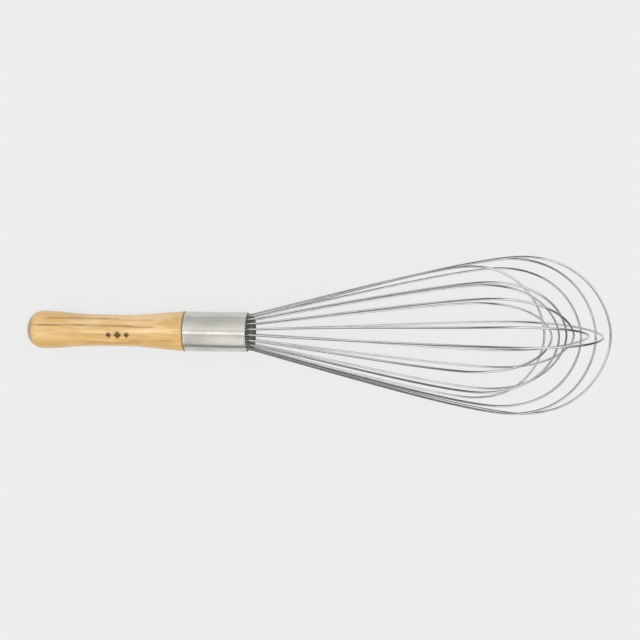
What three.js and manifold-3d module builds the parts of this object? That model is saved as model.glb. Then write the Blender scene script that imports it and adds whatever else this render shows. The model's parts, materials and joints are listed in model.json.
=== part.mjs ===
// Balloon whisk, 12 inch: a turned wooden handle, a steel ferrule, a slotted core
// and ten nested wire loops. Millimetres, +Z up, +X from the butt to the balloon's tip.
//
// The whisk is built about its own axis, X, with the butt's flat end at x = 0. The
// finished group is then tilted onto the floor, where it rests on the butt and on the
// lowest wires of the balloon.
import * as THREE from 'three';
import { mergeVertices } from 'three/addons/utils/BufferGeometryUtils.js';
import Module from 'manifold-3d';

const wasm = await Module();
wasm.setup();

// ---- Driving dimensions ----
const handleLength = 84.2; // the wood that shows
const ferruleLength = 33;
const coreProud = 2.8; // the core's end beyond the ferrule
const balloonLength = 184.3; // from the core's end to the outermost loop's tip
const fitGap = 0.3; // clearance between neighbouring pieces

// Handle
const buttFlatRadius = 5; // the small flat at the rounded butt's end
const buttRadius = 10; // where the handle is thickest behind the butt
const buttRestX = 9.5; // how far that is from the flat
const waistRadius = 8.35;
// The smooth outline, as [distance from the butt's flat, radius] points.
const handleSide = [
  [0, buttFlatRadius],
  [0.6, 6.1],
  [2, 7.8],
  [3.8, 9.1],
  [6, 9.8],
  [buttRestX, buttRadius],
  [17, 9.6],
  [25, 8.9],
  [36, waistRadius],
  [56, waistRadius],
  [64, 8.9],
  [74, 9.75],
  [handleLength, 10.6],
];

// Ferrule
const ferruleRadius = 10.4;
const ferruleWall = 0.5;
const ferruleInnerRadius = ferruleRadius - ferruleWall;

// Wires
const loopCount = 10;
const wireDiameter = 1.15;
const legCircleRadius = 9.1;
const tipStep = 3.7; // each loop's tip is this much nearer the core than the last
const outerBellyRadius = 40.65;
const bellyStep = 0.3;
const bellyReach = 0.757; // where the belly is, as a share of the loop's reach
const bendLength = 3; // each leg turns outwards over this length
const bendInside = 1; // the bend's corner is this far inside the core's end
const legSlope = 0.261; // how steeply it then leaves the axis's direction
const sideEase = 0.31; // the curve handles of a loop, as shares of its size
const bellyEase = 0.16;
const endFullness = 0.73;
const tipFlatness = 0.355;
const slotPitch = 180 / loopCount; // degrees between neighbouring legs
// Each loop from the outermost in: where its upper leg stands, in half slots round
// from straight up, and how far the hand-bent wire bows out of its plane.
const loops = [
  { halfSlots: -9, bow: 0 },
  { halfSlots: 1, bow: 0.8 },
  { halfSlots: 9, bow: 0 },
  { halfSlots: -1, bow: -2 },
  { halfSlots: 7, bow: 0 },
  { halfSlots: -3, bow: 0.5 },
  { halfSlots: -5, bow: -1.5 },
  { halfSlots: 5, bow: -1.2 },
  { halfSlots: 3, bow: -0.5 },
  { halfSlots: -7, bow: 2 },
];

// Core
const coreInside = 14;
const coreRadius = ferruleInnerRadius - fitGap;
const legDepth = 12; // how far a leg's end lies behind the core's end
const slotClearance = 0.2; // between a leg and its slot's side
const slotWidth = wireDiameter + 2 * slotClearance;

// Brads
const bradDiameter = 1.1;
const bradHeadRadius = 0.9;
const bradHeadHeight = 0.5;
const bradLength = 6;
const bradX = handleLength + 2.4;
const bradAngle = -56; // degrees round from straight up

// Places along the axis
const ferruleEnd = handleLength + fitGap + ferruleLength;
const coreEnd = ferruleEnd + coreProud;
const coreStart = ferruleEnd - coreInside;

// ---- Materials ----
const wood = new THREE.MeshStandardMaterial({ color: 0xe6c690, roughness: 0.5 });
const brushedSteel = new THREE.MeshStandardMaterial({ color: 0xb8b4ac, roughness: 0.35, metalness: 1 });
const polishedSteel = new THREE.MeshStandardMaterial({ color: 0xc4c4c6, roughness: 0.2, metalness: 1 });
const darkNylon = new THREE.MeshStandardMaterial({ color: 0x2c2622, roughness: 0.6 });

// ---- Helpers ----
const radians = THREE.MathUtils.degToRad;

/** A named mesh. */
function piece(name, geometry, material) {
  const mesh = new THREE.Mesh(geometry, material);
  mesh.name = name;
  return mesh;
}

/** Turns a profile of [x, radius] points about the X axis. */
function turned(profile, segments) {
  const points = profile.map(([x, radius]) => new THREE.Vector2(radius, x));
  const geometry = new THREE.LatheGeometry(points, segments);
  return geometry.rotateZ(-Math.PI / 2);
}

/** A circular arc from one angle to another, as [x, radius] points. */
function arc(centreX, centreRadius, radius, fromDegrees, toDegrees, steps) {
  const points = [];
  for (let i = 0; i <= steps; i += 1) {
    const angle = radians(fromDegrees + ((toDegrees - fromDegrees) * i) / steps);
    points.push([centreX + radius * Math.cos(angle), centreRadius + radius * Math.sin(angle)]);
  }
  return points;
}

/** A three.js geometry as a manifold solid. */
function toSolid(geometry) {
  const bare = geometry.clone();
  bare.deleteAttribute('normal');
  bare.deleteAttribute('uv');
  const merged = mergeVertices(bare, 1e-4);
  const vertProperties = Float32Array.from(merged.attributes.position.array);
  const triVerts = Uint32Array.from(merged.index.array);
  return new wasm.Manifold(new wasm.Mesh({ numProp: 3, vertProperties, triVerts }));
}

/** A manifold solid as a three.js geometry. */
function toGeometry(solid) {
  const mesh = solid.getMesh();
  const geometry = new THREE.BufferGeometry();
  geometry.setAttribute('position', new THREE.BufferAttribute(mesh.vertProperties, 3));
  geometry.setIndex(new THREE.BufferAttribute(mesh.triVerts, 1));
  geometry.computeVertexNormals();
  return geometry;
}

/** Cuts each of the tools from a geometry. */
function cut(geometry, tools) {
  let solid = toSolid(geometry);
  for (const tool of tools) {
    solid = solid.subtract(toSolid(tool));
  }
  return toGeometry(solid);
}

/** Stands a geometry made along +Y on the ferrule, at a brad's place and angle. */
function standAtBrad(geometry, angle) {
  geometry.rotateX(Math.PI / 2 + radians(angle));
  return geometry.translate(bradX, 0, 0);
}

/** The two holes through the ferrule's wall and into the handle's tenon. */
function bradHoles() {
  const radius = (bradDiameter + fitGap) / 2;
  const bottom = ferruleRadius - bradLength - fitGap;
  const top = ferruleRadius + bradHeadHeight;
  return [bradAngle, bradAngle + 180].map((angle) => {
    const hole = new THREE.CylinderGeometry(radius, radius, top - bottom, 12);
    hole.translate(0, (top + bottom) / 2, 0);
    return standAtBrad(hole, angle);
  });
}

// ---- Handle ----
function makeHandle() {
  const tenonRadius = ferruleInnerRadius - fitGap;
  const tenonEnd = coreStart - fitGap;
  const stepsPerPoint = 2;
  const side = new THREE.SplineCurve(handleSide.map(([x, radius]) => new THREE.Vector2(x, radius)));
  const profile = [
    [0, 0],
    ...side.getPoints(stepsPerPoint * (handleSide.length - 1)).map((point) => point.toArray()),
    [handleLength, tenonRadius],
    [tenonEnd, tenonRadius],
    [tenonEnd, 0],
  ];
  return piece('handle', cut(turned(profile, 40), bradHoles()), wood);
}

// ---- Ferrule ----
function makeFerrule() {
  const start = handleLength + fitGap;
  const lip = ferruleWall / 2;
  const middle = ferruleRadius - lip;
  const lipSteps = 4;
  const profile = [
    ...arc(start + lip, middle, lip, 270, 90, lipSteps),
    ...arc(ferruleEnd - lip, middle, lip, 90, -90, lipSteps),
  ];
  profile.push(profile[0]);
  return piece('ferrule', cut(turned(profile, 48), bradHoles()), brushedSteel);
}

/** A brad: a shank with a low domed head, whose underside rests on the ferrule. */
function makeBrad(name, angle) {
  const shankRadius = bradDiameter / 2;
  const underside = ferruleRadius + fitGap / 2;
  const dome = new THREE.EllipseCurve(0, underside, bradHeadRadius, bradHeadHeight, 0, Math.PI / 2);
  const profile = [
    new THREE.Vector2(0, ferruleRadius - bradLength),
    new THREE.Vector2(shankRadius, ferruleRadius - bradLength + shankRadius),
    new THREE.Vector2(shankRadius, underside),
    ...dome.getPoints(4),
  ];
  profile[profile.length - 1].x = 0;
  const brad = standAtBrad(new THREE.LatheGeometry(profile, 12), angle);
  return piece(name, brad, polishedSteel);
}

// ---- Core ----
/** The core's outline: a circle with a round-bottomed slot for each leg. */
function coreOutline() {
  const slots = 2 * loopCount;
  const halfSlot = Math.asin(slotWidth / 2 / coreRadius);
  const pitch = (2 * Math.PI) / slots;
  const outline = new THREE.Shape();
  for (let i = 0; i < slots; i += 1) {
    const middle = (i + 0.5) * pitch;
    outline.absarc(0, 0, coreRadius, middle - pitch + halfSlot, middle - halfSlot, false);
    const direction = new THREE.Vector2(Math.cos(middle), Math.sin(middle));
    const centre = direction.clone().multiplyScalar(legCircleRadius);
    outline.absarc(centre.x, centre.y, slotWidth / 2, middle - Math.PI / 2, middle + Math.PI / 2, true);
  }
  return outline;
}

function makeCore() {
  const length = coreEnd - coreStart;
  const geometry = new THREE.ExtrudeGeometry(coreOutline(), {
    depth: length,
    bevelEnabled: false,
    curveSegments: 2,
  });
  geometry.rotateY(Math.PI / 2);
  geometry.translate(coreStart, 0, 0);
  return piece('core', geometry, darkNylon);
}

// ---- Wire loops ----
/** The half of a loop above the axis, in the XZ plane, as [curve, steps] pairs. */
function halfLoopCurves(reach, bellyRadius) {
  const bellyX = bellyReach * reach;
  const at = (x, radius) => new THREE.Vector3(coreEnd + x, 0, radius);
  const slopedAt = (x) => at(x, legCircleRadius + legSlope * (x + bendInside));
  const bendStart = at(-bendInside - bendLength / 2, legCircleRadius);
  const bendEnd = slopedAt(-bendInside + bendLength / 2);
  const belly = at(bellyX, bellyRadius);
  const beforeBelly = at(bellyX * (1 - bellyEase), bellyRadius);
  const afterBelly = at(bellyX + endFullness * (reach - bellyX), bellyRadius);
  const tip = at(reach, 0);
  const beforeTip = at(reach, tipFlatness * bellyRadius);
  const leg = new THREE.LineCurve3(at(-legDepth, legCircleRadius), bendStart);
  const bend = new THREE.QuadraticBezierCurve3(bendStart, slopedAt(-bendInside), bendEnd);
  const side = new THREE.CubicBezierCurve3(bendEnd, slopedAt(sideEase * bellyX), beforeBelly, belly);
  const end = new THREE.CubicBezierCurve3(belly, afterBelly, beforeTip, tip);
  return [[leg, 1], [bend, 2], [side, 12], [end, 15]];
}

/** A whole loop along the XZ plane, from one leg's end round the tip to the other's. */
class LoopPath extends THREE.Curve {
  constructor(reach, bellyRadius, bow) {
    super();
    this.reach = reach;
    this.bow = bow;
    this.curves = halfLoopCurves(reach, bellyRadius);
    this.halfSteps = this.curves.reduce((sum, [, steps]) => sum + steps, 0);
  }

  /** How far the wire stands out of the plane at x: nothing at the core and the tip. */
  bowAt(x) {
    const share = Math.max(x - coreEnd, 0) / this.reach;
    return this.bow * Math.sin(Math.PI * share * share);
  }

  /** Each curve of the half takes its own number of equal steps. */
  getPoint(t) {
    let step = Math.min(t, 1 - t) * 2 * this.halfSteps;
    let index = 0;
    while (index < this.curves.length - 1 && step > this.curves[index][1]) {
      step -= this.curves[index][1];
      index += 1;
    }
    const [curve, steps] = this.curves[index];
    const point = curve.getPoint(Math.min(step / steps, 1));
    point.y = this.bowAt(point.x);
    return t <= 0.5 ? point : point.setZ(-point.z);
  }

  getUtoTmapping(u) {
    return u;
  }
}

/** One wire loop, turned about the axis so that its legs lie in their slots. */
function makeLoop({ halfSlots, bow }, index) {
  const reach = balloonLength - wireDiameter / 2 - index * tipStep;
  const bellyRadius = outerBellyRadius - index * bellyStep;
  const path = new LoopPath(reach, bellyRadius, bow);
  const section = new THREE.Shape();
  section.absarc(0, 0, wireDiameter / 2, 0, 2 * Math.PI);
  const geometry = new THREE.ExtrudeGeometry(section, {
    steps: 2 * path.halfSteps,
    curveSegments: 4,
    extrudePath: path,
  });
  const name = `wire_loop_${String(index + 1).padStart(2, '0')}`;
  const loop = piece(name, geometry, polishedSteel);
  loop.rotation.x = radians((halfSlots * slotPitch) / 2);
  return loop;
}

// ---- The whisk about its own axis ----
const whisk = new THREE.Group();
whisk.add(makeHandle(), makeFerrule(), makeCore());
whisk.add(makeBrad('brad_near', bradAngle), makeBrad('brad_far', bradAngle + 180));
whisk.add(...loops.map(makeLoop));

// ---- At rest on the floor ----
// The lowest two legs lie half a slot pitch either side of straight down.
const lowestLegs = (outerBellyRadius - 2 * bellyStep + wireDiameter / 2) * Math.cos(radians(slotPitch / 2));
const lowestLegsX = coreEnd + bellyReach * (balloonLength - 2 * tipStep);
whisk.rotation.y = -Math.atan((lowestLegs - buttRadius) / (lowestLegsX - buttRestX));
whisk.updateMatrixWorld(true);
const extent = new THREE.Box3().setFromObject(whisk, true);
const middle = extent.getCenter(new THREE.Vector3());
whisk.position.set(-middle.x, -middle.y, -extent.min.z);

const group = new THREE.Group();
group.add(whisk);

export default group;
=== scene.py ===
"""Balloon whisk: fine surfaces, materials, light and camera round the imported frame.

Metres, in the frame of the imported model. Each visible piece is made about the whisk's
own axis, X, with the butt's flat end at x = 0, and is then placed on that axis. The
axis comes from the record's butt_end mount.
"""

import json
import math

import bmesh
import bpy
from mathutils import Matrix, Vector


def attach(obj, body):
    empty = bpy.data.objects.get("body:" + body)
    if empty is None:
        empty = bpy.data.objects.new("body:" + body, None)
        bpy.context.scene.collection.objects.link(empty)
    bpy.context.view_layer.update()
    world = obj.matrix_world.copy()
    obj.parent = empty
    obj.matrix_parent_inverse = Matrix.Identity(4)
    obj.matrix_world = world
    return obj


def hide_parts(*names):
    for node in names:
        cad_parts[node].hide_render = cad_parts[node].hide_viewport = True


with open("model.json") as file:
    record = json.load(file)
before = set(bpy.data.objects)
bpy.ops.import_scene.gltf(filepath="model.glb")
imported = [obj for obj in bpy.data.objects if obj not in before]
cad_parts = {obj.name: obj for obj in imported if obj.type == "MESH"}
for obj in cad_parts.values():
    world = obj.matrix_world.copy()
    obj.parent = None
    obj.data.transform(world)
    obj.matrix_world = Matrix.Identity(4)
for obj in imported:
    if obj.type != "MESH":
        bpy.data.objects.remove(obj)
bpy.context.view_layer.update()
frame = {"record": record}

# ---- Driving dimensions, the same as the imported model's ----
HANDLE_LENGTH = 0.0842
FERRULE_LENGTH = 0.033
CORE_PROUD = 0.0028
BALLOON_LENGTH = 0.1843
FIT_GAP = 0.0003

BUTT_FLAT_RADIUS = 0.005
WAIST_RADIUS = 0.00835
HANDLE_SIDE = (
    (0.0, BUTT_FLAT_RADIUS),
    (0.0006, 0.0061),
    (0.002, 0.0078),
    (0.0038, 0.0091),
    (0.006, 0.0098),
    (0.0095, 0.010),
    (0.017, 0.0096),
    (0.025, 0.0089),
    (0.036, WAIST_RADIUS),
    (0.056, WAIST_RADIUS),
    (0.064, 0.0089),
    (0.074, 0.00975),
    (HANDLE_LENGTH, 0.0106),
)

FERRULE_RADIUS = 0.0104
FERRULE_WALL = 0.0005

LOOP_COUNT = 10
WIRE_RADIUS = 0.000575
LEG_CIRCLE_RADIUS = 0.0091
TIP_STEP = 0.0037
OUTER_BELLY_RADIUS = 0.04065
BELLY_STEP = 0.0003
BELLY_REACH = 0.757
BEND_LENGTH = 0.003
BEND_INSIDE = 0.001
LEG_SLOPE = 0.261
SIDE_EASE = 0.31
BELLY_EASE = 0.16
END_FULLNESS = 0.73
TIP_FLATNESS = 0.355
SLOT_PITCH = math.pi / LOOP_COUNT
# Each loop from the outermost in: its upper leg's place, in half slots from straight
# up, and how far the wire bows out of its plane.
LOOPS = (
    (-9, 0.0),
    (1, 0.0008),
    (9, 0.0),
    (-1, -0.002),
    (7, 0.0),
    (-3, 0.0005),
    (-5, -0.0015),
    (5, -0.0012),
    (3, -0.0005),
    (-7, 0.002),
)

CORE_INSIDE = 0.014
CORE_RADIUS = FERRULE_RADIUS - FERRULE_WALL - FIT_GAP
LEG_DEPTH = 0.012
SLOT_WIDTH = 2 * WIRE_RADIUS + 0.0004

BRAD_RADIUS = 0.00055
BRAD_HEAD_RADIUS = 0.0009
BRAD_HEAD_HEIGHT = 0.0005
BRAD_LENGTH = 0.006
BRAD_X = HANDLE_LENGTH + 0.0024
BRAD_ANGLE = math.radians(-56)

FERRULE_END = HANDLE_LENGTH + FIT_GAP + FERRULE_LENGTH
CORE_END = FERRULE_END + CORE_PROUD
CORE_START = FERRULE_END - CORE_INSIDE

# ---- How finely the meshes are divided ----
HANDLE_SIDES = 96
FERRULE_SIDES = 128
BRAD_SIDES = 24
WIRE_SIDES = 16
MERGE_DISTANCE = 1e-7
SHARP_DEGREES = 35

# ---- The whisk's axis ----
BUTT_MOUNT = frame["record"]["mounts"][0]
BUTT = Vector(BUTT_MOUNT["pos_m"])
AXIS = -Vector(BUTT_MOUNT["axis"]).normalized()
SIDEWAYS = Vector((0, 1, 0))
TILT = Matrix((AXIS, SIDEWAYS, AXIS.cross(SIDEWAYS))).transposed()
WHISK = Matrix.Translation(BUTT) @ TILT.to_4x4()


# ---- Mesh helpers ----
def finish_piece(name, mesh, material, replaced):
    """Puts a mesh made about the whisk's axis in its place, smooth but for its sharp edges."""
    shape = bmesh.new()
    shape.from_mesh(mesh)
    shape.transform(WHISK)
    bmesh.ops.remove_doubles(shape, verts=shape.verts, dist=MERGE_DISTANCE)
    bmesh.ops.recalc_face_normals(shape, faces=shape.faces)
    for face in shape.faces:
        face.smooth = True
    for edge in shape.edges:
        edge.smooth = edge.calc_face_angle(0) < math.radians(SHARP_DEGREES)
    shape.to_mesh(mesh)
    shape.free()
    mesh.materials.append(material)
    obj = bpy.data.objects.new(name, mesh)
    bpy.context.collection.objects.link(obj)
    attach(obj, "root")
    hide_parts(replaced)


def rings_to_mesh(name, rings, closed_length=False):
    """A mesh from rings of equal length. A ring of one repeated point closes an end."""
    mesh = bpy.data.meshes.new(name)
    sides = len(rings[0])
    points = [point for ring in rings for point in ring]
    spans = len(rings) if closed_length else len(rings) - 1
    faces = []
    for i in range(spans):
        first, second = i * sides, (i + 1) % len(rings) * sides
        for k in range(sides):
            after = (k + 1) % sides
            faces.append((first + k, first + after, second + after, second + k))
    mesh.from_pydata(points, [], faces)
    mesh.validate()
    return mesh


def full_turn(sides):
    """The angles of a ring's points."""
    return [2 * math.pi * k / sides for k in range(sides)]


def turned(name, profile, sides, closed_profile=False):
    """Turns (x, radius) points about the X axis."""
    angles = full_turn(sides)
    rings = []
    for x, radius in profile:
        rings.append([(x, radius * math.cos(a), radius * math.sin(a)) for a in angles])
    return rings_to_mesh(name, rings, closed_profile)


def arc(centre_x, centre_radius, radius, start, end, steps):
    """A circular arc as (x, radius) points. The angles are in degrees."""
    points = []
    for i in range(steps + 1):
        angle = math.radians(start + (end - start) * i / steps)
        points.append((centre_x + radius * math.cos(angle), centre_radius + radius * math.sin(angle)))
    return points


def spline(points, steps):
    """A smooth curve through (x, y) points, with that many steps between each two."""

    def between(before, start, end, after, t):
        """One coordinate of the curve, a share t of the way from start to end."""
        slope = end - before
        bend = 2 * before - 5 * start + 4 * end - after
        twist = 3 * start - before - 3 * end + after
        return 0.5 * (2 * start + slope * t + bend * t**2 + twist * t**3)

    ends = [points[0], *points, points[-1]]
    curve = []
    for neighbours in zip(ends, ends[1:], ends[2:], ends[3:]):
        for i in range(steps):
            curve.append(tuple(between(*values, i / steps) for values in zip(*neighbours)))
    return [*curve, points[-1]]


def bezier(points, steps):
    """A Bezier curve of any degree, without its first point."""
    curve = []
    for i in range(1, steps + 1):
        t = i / steps
        level = [Vector(p) for p in points]
        while len(level) > 1:
            level = [a.lerp(b, t) for a, b in zip(level, level[1:])]
        curve.append(level[0])
    return curve


# ---- Node helpers ----
class Shader:
    """Short ways to build the nodes of one material, or of the world."""

    def __init__(self, owner, surface="Principled BSDF"):
        owner.use_nodes = True
        self.owner = owner
        self.tree = owner.node_tree
        self.surface = self.tree.nodes[surface]

    def node(self, kind, settings=None, **inputs):
        """A new node. Inputs are sockets to link or values, by name, with _ for a space."""
        made = self.tree.nodes.new(kind)
        for key, value in (settings or {}).items():
            setattr(made, key, value)
        for key, value in inputs.items():
            self.put(made, key.replace("_", " "), value)
        return made

    def put(self, node, name, value):
        """Links or sets the input of that name, or of that number after 'in'."""
        key = int(name[2:]) if name.startswith("in") and name[2:].isdigit() else name
        if isinstance(value, bpy.types.NodeSocket):
            self.tree.links.new(value, node.inputs[key])
        else:
            node.inputs[key].default_value = value

    def set(self, name, value):
        """Links or sets an input of the surface itself."""
        self.put(self.surface, name, value)

    def math(self, operation, first, second=0.0):
        made = self.node("ShaderNodeMath", {"operation": operation}, in0=first, in1=second)
        return made.outputs[0]

    def add(self, first, second):
        return self.math("ADD", first, second)

    def subtract(self, first, second):
        return self.math("SUBTRACT", first, second)

    def multiply(self, first, second):
        return self.math("MULTIPLY", first, second)

    def gap(self, first, second):
        """How far apart two values are."""
        return self.math("ABSOLUTE", self.subtract(first, second))

    def noise(self, coordinates, scale, detail=2.0, roughness=0.5):
        """Noise at a scale of its own along each axis, in waves per metre."""
        stretched = self.node("ShaderNodeMapping", Vector=coordinates, Scale=scale)
        made = self.node(
            "ShaderNodeTexNoise",
            Vector=stretched.outputs[0],
            Scale=1.0,
            Detail=detail,
            Roughness=roughness,
        )
        return made.outputs["Fac"]

    def ramp(self, value, start, end, low=0.0, high=1.0):
        """A smooth step from low at start to high at end."""
        made = self.node(
            "ShaderNodeMapRange",
            {"interpolation_type": "SMOOTHSTEP"},
            Value=value,
            From_Min=start,
            From_Max=end,
            To_Min=low,
            To_Max=high,
        )
        return made.outputs["Result"]

    def graded(self, value, stops):
        """A smooth curve through (value, level) stops. The levels are from 0 to 1."""
        start, end = stops[0][0], stops[-1][0]
        share = self.node("ShaderNodeMapRange", Value=value, From_Min=start, From_Max=end)
        made = self.node("ShaderNodeValToRGB", Fac=share.outputs["Result"])
        elements = made.color_ramp.elements
        made.color_ramp.interpolation = "EASE"
        for number, (place, level) in enumerate(stops):
            if number == 0:
                stop = elements[0]
            elif number == len(stops) - 1:
                stop = elements[-1]
            else:
                stop = elements.new((place - start) / (end - start))
            stop.color = grey(level)
        return made.outputs["Color"]

    def mix(self, share, first, second):
        """A mix of two colours."""
        made = self.node("ShaderNodeMix", {"data_type": "RGBA"}, in0=share, in6=first, in7=second)
        return made.outputs[2]

    def bump(self, height, distance, strength):
        made = self.node("ShaderNodeBump", Height=height, Distance=distance, Strength=strength)
        self.set("Normal", made.outputs[0])

    def place(self):
        """The place along and about the whisk's axis, with the butt's flat end at x = 0."""
        made = self.node(
            "ShaderNodeMapping",
            {"vector_type": "TEXTURE"},
            Vector=self.node("ShaderNodeTexCoord").outputs["Object"],
            Location=BUTT,
            Rotation=TILT.to_euler(),
        )
        return made.outputs[0]

    def parts(self, vector):
        """The x, y and z of a vector."""
        return self.node("ShaderNodeSeparateXYZ", Vector=vector).outputs


def colour(red, green, blue):
    return (red, green, blue, 1.0)


def grey(level):
    return colour(level, level, level)


# ---- Materials ----
PALE_WOOD = colour(0.74, 0.51, 0.24)
AMBER_WOOD = colour(0.62, 0.365, 0.088)
# The pale of sapwood, also used for painted highlights:
SAP_WOOD_AND_HIGHLIGHT = colour(0.88, 0.68, 0.41)
STREAK_WOOD = colour(0.56, 0.34, 0.12)
# The dark of the growth lines, also used for the painted shadow at the ferrule joint:
GROWTH_LINE_AND_JOINT_SHADOW_WOOD = colour(0.26, 0.12, 0.035)
# The grey of the painted shade on the butt's rounded edge:
PAINTED_BUTT_SHADE = colour(0.34, 0.26, 0.16)
BURNT_WOOD = colour(0.065, 0.020, 0.0)
FERRULE_STEEL = colour(0.76, 0.75, 0.70)
FERRULE_SMUDGE = colour(0.71, 0.70, 0.65)
WIRE_STEEL = colour(0.54, 0.54, 0.535)
WIRE_CLOUD = colour(0.47, 0.47, 0.465)
BRAD_STEEL = colour(0.80, 0.78, 0.70)
BRAD_DIMPLE = colour(0.66, 0.63, 0.55)
CORE_NYLON = colour(0.055, 0.050, 0.040)
CORE_DUST = colour(0.10, 0.092, 0.076)

# The dark growth lines that run along the handle: sideways place, half width, strength,
# and where along the handle each starts and ends.
GROWTH_LINES = (
    (0.0061, 0.00026, 0.85, 0.0095, 0.052),
    (0.0025, 0.00030, 1.00, 0.001, 0.060),
    (0.0020, 0.00026, 0.60, 0.052, 0.072),
    (-0.0022, 0.00020, 0.45, 0.010, 0.044),
    (-0.0052, 0.00026, 0.60, 0.054, 0.081),
    (-0.0064, 0.00024, 0.50, 0.028, 0.064),
)
# Paler streaks, in the same way. The first, along the crest of the flare, and the third, near the
# butt, are painted highlights.
PALE_STREAKS_AND_HIGHLIGHTS = (
    (0.0001, 0.0007, 0.85, 0.056, 0.083),
    (0.0022, 0.0006, 0.45, 0.064, 0.080),
    (0.0024, 0.0022, 0.55, 0.003, 0.012),
    (0.0036, 0.0010, 0.45, 0.018, 0.044),
    (-0.0008, 0.0007, 0.45, 0.024, 0.048),
    (0.0074, 0.0010, 0.30, 0.030, 0.078),
)
STREAK_WANDER = 0.0009  # how far sideways a streak wanders in all

# The burnt ornament's middle, and each lozenge's place along it and half width.
ORNAMENT_X = 0.0495
ORNAMENT_Y = -0.0024
ORNAMENT_PITCH = 0.0048
LOZENGES = (
    (-ORNAMENT_PITCH, 0.0016),
    (0.0, 0.0021),
    (ORNAMENT_PITCH, 0.0016),
)
BURN_UNEVENNESS = 0.0010

LACQUER = 0.6
LINES_DARKNESS = 0.8
BUTT_SHADE_LENGTH = 0.003  # how far the painted grey shade on the butt's rounded edge reaches
# how far the painted shadow at the ferrule joint reaches
JOINT_SHADOW_LENGTH = 0.0009


def streaks(shader, x, y, place, table, fade_length):
    """How strong a table's streaks are at a place: they wander a little and fade in and out."""
    wander = shader.subtract(shader.noise(place, (28, 60, 60)), 0.5)
    across = shader.add(y, shader.multiply(wander, STREAK_WANDER))
    total = 0.0
    for number, (offset, half_width, strength, start, end) in enumerate(table):
        from_line = shader.gap(across, offset)
        line = shader.ramp(from_line, half_width * 0.6, half_width * 2.2, strength, 0.0)
        # Each streak is patchy in its own way: the noise is read further along for each.
        shifted = shader.node("ShaderNodeVectorMath", in0=place, in1=(0.31 * number, 0, 0))
        patchy = shader.noise(shifted.outputs[0], (70, 12, 12))
        line = shader.multiply(line, shader.ramp(patchy, 0.3, 0.6, 0.45, 1.0))
        line = shader.multiply(line, shader.ramp(x, start, start + fade_length))
        line = shader.multiply(line, shader.ramp(x, end, end - fade_length))
        total = shader.math("MAXIMUM", total, line)
    return total


def burnt_ornament(shader, x, y, z, place):
    """A row of three small burnt lozenges on the upper side of the waist."""
    along = shader.subtract(x, ORNAMENT_X)
    across = shader.gap(y, ORNAMENT_Y)
    uneven = shader.subtract(shader.noise(place, (1500, 1500, 1500)), 0.5)
    uneven = shader.multiply(uneven, BURN_UNEVENNESS)
    total = 0.0
    for offset, size in LOZENGES:
        reach = shader.add(shader.add(shader.gap(along, offset), across), uneven)
        lozenge = shader.ramp(reach, size * 0.7, size * 1.3, 1.0, 0.0)
        total = shader.math("MAXIMUM", total, lozenge)
    upper_side = shader.ramp(z, 0.001, 0.003)
    return shader.multiply(total, upper_side)


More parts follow.
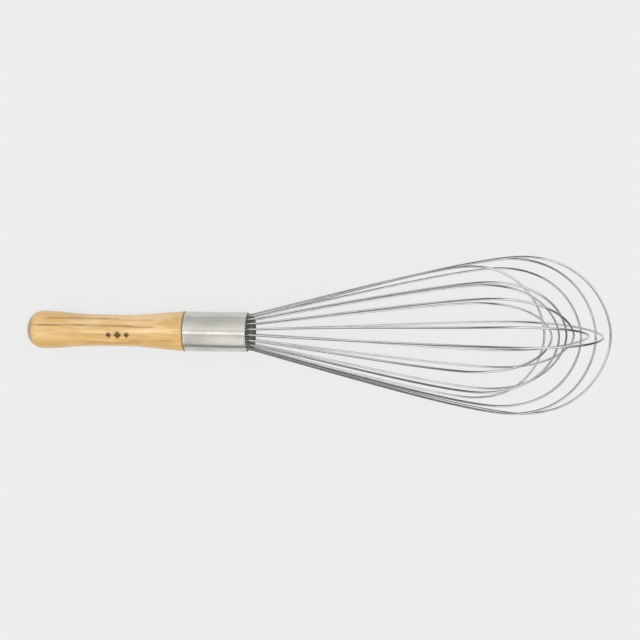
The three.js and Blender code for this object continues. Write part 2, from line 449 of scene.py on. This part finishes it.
def wood_material():
    """Pale lacquered hardwood with its grain along the handle, with painted highlights, painted shade
    on the butt's edge and a painted shadow at the ferrule.
    """
    shader = Shader(bpy.data.materials.new("handle_wood"))
    place = shader.place()
    x, y, z = shader.parts(place)
    fibres = shader.noise(place, (55, 1300, 1300), detail=4, roughness=0.65)
    bands = shader.noise(place, (11, 420, 420), detail=3, roughness=0.55)
    patches = shader.noise(place, (22, 90, 90))
    flecks = shader.noise(place, (420, 3600, 3600), detail=1)
    mottle = shader.noise(place, (75, 700, 700))

    lower_side = shader.ramp(y, 0.002, -0.008)
    amber = shader.ramp(patches, 0.38, 0.68, 0.0, 0.6)
    amber = shader.add(amber, shader.multiply(lower_side, 0.6))
    base = shader.mix(shader.math("MINIMUM", amber, 1.0), PALE_WOOD, AMBER_WOOD)
    base = shader.mix(shader.ramp(bands, 0.42, 0.66, 0.0, 0.75), base, STREAK_WOOD)
    base = shader.mix(shader.ramp(fibres, 0.46, 0.66, 0.0, 0.55), base, STREAK_WOOD)
    base = shader.mix(shader.ramp(flecks, 0.62, 0.76, 0.0, 0.45), base, STREAK_WOOD)
    base = shader.mix(shader.ramp(mottle, 0.48, 0.30, 0.0, 0.35), base, STREAK_WOOD)
    base = shader.mix(shader.ramp(mottle, 0.50, 0.72, 0.0, 0.32), base, SAP_WOOD_AND_HIGHLIGHT)
    # Paler streaks. Two of them are painted highlights, on the crest of the flare and near the butt.
    base = shader.mix(streaks(shader, x, y, place, PALE_STREAKS_AND_HIGHLIGHTS, 0.010), base, SAP_WOOD_AND_HIGHLIGHT)
    lines = streaks(shader, x, y, place, GROWTH_LINES, 0.004)
    base = shader.mix(shader.multiply(lines, LINES_DARKNESS), base, GROWTH_LINE_AND_JOINT_SHADOW_WOOD)

    # Painted shade: the butt's rounded edge is greyed where it turns away.
    painted_butt_shade = shader.ramp(x, BUTT_SHADE_LENGTH - 0.0005, BUTT_SHADE_LENGTH + 0.0005, 0.8, 0.0)
    base = shader.mix(painted_butt_shade, base, PAINTED_BUTT_SHADE)
    # Painted shadow: the wood darkens just before the ferrule, where the joint's gap is shaded.
    painted_joint_shadow = shader.ramp(x, HANDLE_LENGTH - JOINT_SHADOW_LENGTH, HANDLE_LENGTH, 0.0, 0.7)
    painted_joint_shadow = shader.multiply(painted_joint_shadow, shader.ramp(bands, 0.2, 0.6, 0.6, 1.0))
    base = shader.mix(painted_joint_shadow, base, GROWTH_LINE_AND_JOINT_SHADOW_WOOD)
    burn = burnt_ornament(shader, x, y, z, place)
    burn = shader.multiply(burn, shader.ramp(fibres, 0.25, 0.6, 0.75, 1.0))
    base = shader.mix(burn, base, BURNT_WOOD)

    shader.set("Base Color", base)
    shader.set("Roughness", shader.ramp(fibres, 0.3, 0.8, 0.36, 0.55))
    shader.set("Coat Weight", shader.multiply(shader.subtract(1.0, burn), LACQUER))
    shader.set("Coat Roughness", 0.3)
    height = shader.subtract(shader.multiply(fibres, 0.25), shader.multiply(lines, 0.35))
    height = shader.subtract(height, burn)
    shader.bump(height, distance=0.00012, strength=0.8)
    return shader.owner


def ferrule_material():
    """Satin steel, polished round the sleeve, with a few handling marks."""
    shader = Shader(bpy.data.materials.new("ferrule_steel"))
    place = shader.place()
    turning = shader.noise(place, (5200, 130, 130), detail=3, roughness=0.6)
    smudges = shader.noise(place, (90, 90, 90), detail=3)
    scratches = shader.noise(place, (260, 4200, 4200), detail=1)
    marks = shader.ramp(scratches, 0.72, 0.80)
    shader.set("Metallic", 1.0)
    tint = shader.mix(shader.ramp(smudges, 0.35, 0.7), FERRULE_STEEL, FERRULE_SMUDGE)
    shader.set("Base Color", tint)
    rough = shader.ramp(smudges, 0.3, 0.75, 0.38, 0.45)
    rough = shader.add(rough, shader.multiply(marks, 0.10))
    shader.set("Roughness", rough)
    shader.set("Anisotropic", 1.0)
    shader.set("Anisotropic Rotation", 0.25)
    round_the_sleeve = shader.node("ShaderNodeTangent", {"direction_type": "RADIAL", "axis": "X"})
    shader.set("Tangent", round_the_sleeve.outputs[0])
    height = shader.add(turning, shader.multiply(marks, -0.6))
    shader.bump(height, distance=0.000012, strength=0.6)
    return shader.owner


def wire_material():
    """Polished spring steel wire, a little clouded, with a very fine grain."""
    shader = Shader(bpy.data.materials.new("wire_steel"))
    place = shader.place()
    cloud = shader.noise(place, (160, 160, 160))
    grain = shader.noise(place, (2400, 2400, 2400))
    shader.set("Metallic", 1.0)
    tint = shader.mix(shader.ramp(cloud, 0.35, 0.7), WIRE_STEEL, WIRE_CLOUD)
    shader.set("Base Color", tint)
    shader.set("Roughness", shader.ramp(cloud, 0.3, 0.75, 0.08, 0.16))
    shader.bump(grain, distance=0.000006, strength=0.5)
    return shader.owner


def brad_material():
    """Bright steel, dulled by the hammer."""
    shader = Shader(bpy.data.materials.new("brad_steel"))
    dimples = shader.noise(shader.place(), (1800, 1800, 1800))
    shader.set("Metallic", 1.0)
    tint = shader.mix(dimples, BRAD_STEEL, BRAD_DIMPLE)
    shader.set("Base Color", tint)
    shader.set("Roughness", shader.ramp(dimples, 0.3, 0.7, 0.25, 0.42))
    shader.bump(dimples, distance=0.00003, strength=0.8)
    return shader.owner


def core_material():
    """Dark moulded nylon, a little dusty in patches."""
    shader = Shader(bpy.data.materials.new("core_nylon"))
    place = shader.place()
    mould = shader.noise(place, (1900, 1900, 1900), detail=3, roughness=0.6)
    dust = shader.noise(place, (300, 300, 300), detail=3)
    tint = shader.mix(shader.ramp(dust, 0.45, 0.8), CORE_NYLON, CORE_DUST)
    shader.set("Base Color", tint)
    shader.set("Roughness", shader.ramp(dust, 0.3, 0.7, 0.42, 0.6))
    shader.bump(mould, distance=0.00003, strength=0.5)
    return shader.owner


# ---- Handle ----
def make_handle(material):
    """The turned handle: flat butt, rounded edge, waist and flared shoulder."""
    shoulder_x, shoulder_radius = HANDLE_SIDE[-1]
    shoulder_slope = 0.1
    chamfer = 0.00025
    chamfer_centre = shoulder_radius - chamfer * (1 + shoulder_slope)
    tenon_radius = CORE_RADIUS
    tenon_end = CORE_START - FIT_GAP
    butt_rings = 8
    profile = [
        *[(0.0, BUTT_FLAT_RADIUS * i / butt_rings) for i in range(butt_rings)],
        *spline(HANDLE_SIDE, steps=10)[:-1],
        *arc(shoulder_x - chamfer, chamfer_centre, chamfer, 90, 0, steps=4),
        (shoulder_x, tenon_radius),
        (tenon_end, tenon_radius),
        (tenon_end, 0.0),
    ]
    mesh = turned("handle_turned", profile, HANDLE_SIDES)
    finish_piece("handle_turned", mesh, material, "handle")


# ---- Ferrule ----
def make_ferrule(material):
    """The sleeve, with both lips rolled over and a fine turned line behind each."""
    start = HANDLE_LENGTH + FIT_GAP
    lip = FERRULE_WALL / 2
    middle = FERRULE_RADIUS - lip
    line_depth = 0.00006
    line_step = 0.00006
    line_from_end = 0.0011
    profile = arc(start + lip, middle, lip, 270, 90, steps=12)
    for centre in (start + line_from_end, FERRULE_END - line_from_end):
        for step, depth in ((-2, 0.0), (-1, 0.5), (0, 1.0), (1, 0.5), (2, 0.0)):
            profile.append((centre + step * line_step, FERRULE_RADIUS - depth * line_depth))
    profile += arc(FERRULE_END - lip, middle, lip, 90, -90, steps=12)
    mesh = turned("ferrule_sleeve", profile, FERRULE_SIDES, closed_profile=True)
    finish_piece("ferrule_sleeve", mesh, material, "ferrule")


# ---- Core ----
def core_section(inset):
    """The core's slotted outline, moved in from its surface by inset, as (y, z) points."""
    half_slot = SLOT_WIDTH / 2 + inset
    radius = CORE_RADIUS - inset
    half_angle = math.asin(half_slot / radius)
    tooth_steps = 6
    slot_steps = 8
    points = []
    for i in range(2 * LOOP_COUNT):
        middle = (i + 0.5) * SLOT_PITCH
        start = middle - SLOT_PITCH + half_angle
        end = middle - half_angle
        for step in range(tooth_steps + 1):
            angle = start + (end - start) * step / tooth_steps
            points.append((radius * math.cos(angle), radius * math.sin(angle)))
        for step in range(slot_steps + 1):
            angle = middle - math.pi / 2 - math.pi * step / slot_steps
            points.append((
                LEG_CIRCLE_RADIUS * math.cos(middle) + half_slot * math.cos(angle),
                LEG_CIRCLE_RADIUS * math.sin(middle) + half_slot * math.sin(angle),
            ))
    return points


def make_core(material):
    """The slotted plug. Its outer end is dished, with softly rounded edges."""
    edge = 0.00022
    edge_steps = 4
    inner_radius = LEG_CIRCLE_RADIUS - SLOT_WIDTH / 2 - edge
    # Shares of the inner radius, and how deep the end is there.
    dish = ((0.92, 0.0), (0.80, 0.0006), (0.45, 0.0012), (0.0, 0.0014))
    outline = core_section(0.0)
    rings = [[(CORE_START, 0.0, 0.0)] * len(outline)]
    rings.append([(CORE_START, y, z) for y, z in outline])
    for step in range(edge_steps + 1):
        turn = math.pi / 2 * step / edge_steps
        inset = edge * (1 - math.cos(turn))
        x = CORE_END - edge + edge * math.sin(turn)
        rings.append([(x, y, z) for y, z in core_section(inset)])
    for share, depth in dish:
        ring = []
        for y, z in core_section(edge):
            scale = share * inner_radius / math.hypot(y, z)
            ring.append((CORE_END - depth, y * scale, z * scale))
        rings.append(ring)
    mesh = rings_to_mesh("core_plug", rings)
    finish_piece("core_plug", mesh, material, "core")


# ---- Brads ----
def make_brad(name, angle, material):
    """A brad's shank and low domed head, stood on the ferrule at an angle from upright."""
    underside = FERRULE_RADIUS + FIT_GAP / 2
    profile = [
        (FERRULE_RADIUS - BRAD_LENGTH, 0.0),
        (FERRULE_RADIUS - BRAD_LENGTH + BRAD_RADIUS, BRAD_RADIUS),
        (underside, BRAD_RADIUS),
    ]
    dome_steps = 8
    for step in range(dome_steps + 1):
        turn = math.pi / 2 * step / dome_steps
        height = underside + BRAD_HEAD_HEIGHT * math.sin(turn)
        profile.append((height, BRAD_HEAD_RADIUS * math.cos(turn)))
    mesh = turned(f"{name}_head", profile, BRAD_SIDES)
    upright = Matrix.Rotation(-math.pi / 2, 4, "Y")
    place = Matrix.Translation((BRAD_X, 0, 0)) @ Matrix.Rotation(angle, 4, "X")
    mesh.transform(place @ upright)
    finish_piece(f"{name}_head", mesh, material, name)


# ---- Wire loops ----
def half_loop(reach, belly_radius, bow):
    """The half of a loop above the axis, from its leg's end to its tip, as points."""
    belly_x = BELLY_REACH * reach

    def at(x, radius):
        return Vector((CORE_END + x, 0.0, radius))

    def sloped_at(x):
        return at(x, LEG_CIRCLE_RADIUS + LEG_SLOPE * (x + BEND_INSIDE))

    bend_start = at(-BEND_INSIDE - BEND_LENGTH / 2, LEG_CIRCLE_RADIUS)
    bend_end = sloped_at(-BEND_INSIDE + BEND_LENGTH / 2)
    belly = at(belly_x, belly_radius)
    before_belly = at(belly_x * (1 - BELLY_EASE), belly_radius)
    after_belly = at(belly_x + END_FULLNESS * (reach - belly_x), belly_radius)
    before_tip = at(reach, TIP_FLATNESS * belly_radius)
    points = [at(-LEG_DEPTH, LEG_CIRCLE_RADIUS)]
    points += bezier([points[0], bend_start], steps=3)
    points += bezier([bend_start, sloped_at(-BEND_INSIDE), bend_end], steps=8)
    points += bezier([bend_end, sloped_at(SIDE_EASE * belly_x), before_belly, belly], steps=56)
    points += bezier([belly, after_belly, before_tip, at(reach, 0.0)], steps=64)
    for point in points:
        share = max(point.x - CORE_END, 0.0) / reach
        point.y = bow * math.sin(math.pi * share**2)
    return points


def wire_rings(path):
    """The rings of a wire along a path that lies in the X-Z plane but for a small bow."""
    burr = WIRE_RADIUS * 0.2
    last = len(path) - 1

    def ring(centre, direction, radius):
        outwards = direction.cross(SIDEWAYS)
        turns = [math.cos(a) * outwards + math.sin(a) * SIDEWAYS for a in full_turn(WIRE_SIDES)]
        return [centre + radius * turn for turn in turns]

    rings = []
    for i, centre in enumerate(path):
        direction = (path[min(i + 1, last)] - path[max(i - 1, 0)]).normalized()
        if i == 0:
            rings.append(ring(centre, direction, 0.0))
            rings.append(ring(centre, direction, WIRE_RADIUS - burr))
            rings.append(ring(centre + burr * direction, direction, WIRE_RADIUS))
        elif i == last:
            rings.append(ring(centre - burr * direction, direction, WIRE_RADIUS))
            rings.append(ring(centre, direction, WIRE_RADIUS - burr))
            rings.append(ring(centre, direction, 0.0))
        else:
            rings.append(ring(centre, direction, WIRE_RADIUS))
    return rings


def make_loop(index, material):
    """One bent wire, its ends cut square with the burr taken off."""
    half_slots, bow = LOOPS[index]
    reach = BALLOON_LENGTH - WIRE_RADIUS - index * TIP_STEP
    half = half_loop(reach, OUTER_BELLY_RADIUS - index * BELLY_STEP, bow)
    path = half + [Vector((p.x, p.y, -p.z)) for p in reversed(half[:-1])]
    node = f"wire_loop_{index + 1:02d}"
    mesh = rings_to_mesh(f"{node}_wire", wire_rings(path))
    mesh.transform(Matrix.Rotation(half_slots * SLOT_PITCH / 2, 4, "X"))
    finish_piece(f"{node}_wire", mesh, material, node)


# ---- Floor, light and camera ----
FOCAL_LENGTH_SHARE = 2.34375  # the lens's focal length over the width of its picture
SENSOR_WIDTH = 36.0  # millimetres, as Blender's cameras have it
CAMERA_PLACE = (0.0033, 0.0068, 0.8075)
CAMERA_TURN = math.radians(0.72)

# The light tent: how bright it is along the whisk, by the direction's x less its slant,
# and round the whisk, by the angle from upright towards +Y in degrees.
TENT_SLANT = 0.27
TENT_ALONG = (
    (-1.0, 0.80),
    (-0.66, 0.80),
    (-0.50, 0.03),
    (-0.12, 0.03),
    (0.0, 0.88),
    (0.80, 0.88),
    (0.93, 0.10),
    (1.0, 0.10),
)
TENT_AROUND = (
    (-90, 0.40),
    (-84, 0.56),
    (-76, 0.62),
    (-60, 0.74),
    (-45, 0.82),
    (-34, 0.72),
    (-22, 0.49),
    (-8, 0.58),
    (3, 0.62),
    (10, 0.69),
    (18, 0.86),
    (28, 0.74),
    (42, 0.62),
    (60, 0.61),
    (90, 0.46),
)
SEAM_TURN = -9.5  # the bright seam along the tent, in the same degrees
SEAM_HALF_WIDTH = 6.0
SEAM = 1.8
SEAM_FADES_AT = 0.15  # the direction's x where the seam starts to fade, and where it is gone
SEAM_GONE_AT = 0.35
TENT_SIDES = 0.72  # the tent's level along the whisk low down, where it has no gap
SIDES_START = 62.0  # degrees from upright
SIDES_END = 84.0
TENT_STRENGTH = 2.5
TENT_COLOUR = colour(1.0, 0.995, 0.98)
BACKDROP = 0.82  # how bright the plain backdrop behind the floor looks

FILL_POWER = 8.0
FILL_SIZE = 2.4
FILL_PLACE = (-0.3, -0.2, 1.8)

FLOOR_SIZE = 40.0
FLOOR_GREY = 0.12
FLOOR_GLOW = 0.71
# The round part of the floor that steel mirrors as pale, and how dark the rest is.
MIRRORED_CENTRE = (0.0, 0.12, 0.0)
MIRRORED_RADIUS = 0.19
MIRRORED_FADE = 0.08
MIRRORED_DARKNESS = 0.85


def make_floor():
    """A plain pale studio surface. It glows a little, as a light table does.

    Polished steel mirrors only the part near the whisk as pale, and the rest as dark.
    """
    half = FLOOR_SIZE / 2
    corners = [(-half, -half, 0), (half, -half, 0), (half, half, 0), (-half, half, 0)]
    mesh = bpy.data.meshes.new("floor")
    mesh.from_pydata(corners, [], [(0, 1, 2, 3)])
    floor = bpy.data.objects.new("floor", mesh)
    bpy.context.collection.objects.link(floor)
    shader = Shader(bpy.data.materials.new("floor"))
    place = shader.node("ShaderNodeTexCoord").outputs["Object"]
    from_centre = shader.node(
        "ShaderNodeVectorMath", {"operation": "DISTANCE"}, in0=place, in1=MIRRORED_CENTRE
    ).outputs["Value"]
    outside = shader.ramp(from_centre, MIRRORED_RADIUS, MIRRORED_RADIUS + MIRRORED_FADE)
    mirrored = shader.node("ShaderNodeLightPath").outputs["Is Glossy Ray"]
    dark = shader.multiply(mirrored, shader.multiply(outside, MIRRORED_DARKNESS))
    shader.set("Base Color", shader.mix(dark, grey(FLOOR_GREY), grey(0.0)))
    shader.set("Roughness", 1.0)
    shader.set("Specular IOR Level", 0.0)
    shader.set("Emission Color", grey(1.0))
    shader.set("Emission Strength", shader.multiply(shader.subtract(1.0, dark), FLOOR_GLOW))
    mesh.materials.append(shader.owner)


def make_light():
    """A soft light tent as the world, with a dark gap across it and a bright seam along it.

    The camera itself sees a plain backdrop there.
    """
    world = bpy.data.worlds.new("tent")
    bpy.context.scene.world = world
    shader = Shader(world, "Background")
    direction = shader.node("ShaderNodeTexCoord").outputs["Generated"]
    x, y, z = shader.parts(direction)
    turn = shader.math("DEGREES", shader.math("ARCTAN2", y, z))
    low_down = shader.ramp(shader.math("ABSOLUTE", turn), SIDES_START, SIDES_END)
    slanted = shader.subtract(x, shader.multiply(y, TENT_SLANT))
    along = shader.mix(low_down, shader.graded(slanted, TENT_ALONG), grey(TENT_SIDES))
    light = shader.multiply(along, shader.graded(turn, TENT_AROUND))
    light = shader.multiply(light, TENT_STRENGTH)
    from_seam = shader.gap(turn, SEAM_TURN)
    seam = shader.ramp(from_seam, SEAM_HALF_WIDTH * 0.6, SEAM_HALF_WIDTH, SEAM, 0.0)
    seam = shader.multiply(seam, shader.ramp(x, SEAM_GONE_AT, SEAM_FADES_AT))
    light = shader.add(light, seam)
    backdrop = shader.node("ShaderNodeLightPath").outputs["Is Camera Ray"]
    shader.set("Color", TENT_COLOUR)
    shader.set("Strength", shader.mix(backdrop, light, grey(BACKDROP)))


def make_fill():
    """A wide soft light from above. Polished steel doesn't mirror it."""
    data = bpy.data.lights.new("fill", "AREA")
    data.shape = "DISK"
    data.size = FILL_SIZE
    data.energy = FILL_POWER
    fill = bpy.data.objects.new("fill", data)
    bpy.context.collection.objects.link(fill)
    fill.location = FILL_PLACE
    fill.rotation_euler = (-Vector(fill.location)).to_track_quat("-Z", "Y").to_euler()
    fill.visible_glossy = False


def make_camera():
    """Straight above the whisk, as high as a copy stand holds a camera."""
    data = bpy.data.cameras.new("camera")
    data.sensor_width = SENSOR_WIDTH
    data.lens = SENSOR_WIDTH * FOCAL_LENGTH_SHARE
    camera = bpy.data.objects.new("camera", data)
    bpy.context.collection.objects.link(camera)
    camera.location = CAMERA_PLACE
    camera.rotation_euler = (0.0, 0.0, CAMERA_TURN)
    bpy.context.scene.camera = camera
    bpy.context.scene.view_settings.view_transform = "Standard"


make_camera()
make_floor()
make_light()
make_fill()

make_handle(wood_material())
make_ferrule(ferrule_material())
make_core(core_material())
brad_steel = brad_material()
make_brad("brad_near", BRAD_ANGLE, brad_steel)
make_brad("brad_far", BRAD_ANGLE + math.pi, brad_steel)
wire_steel = wire_material()
for loop_index in range(LOOP_COUNT):
    make_loop(loop_index, wire_steel)
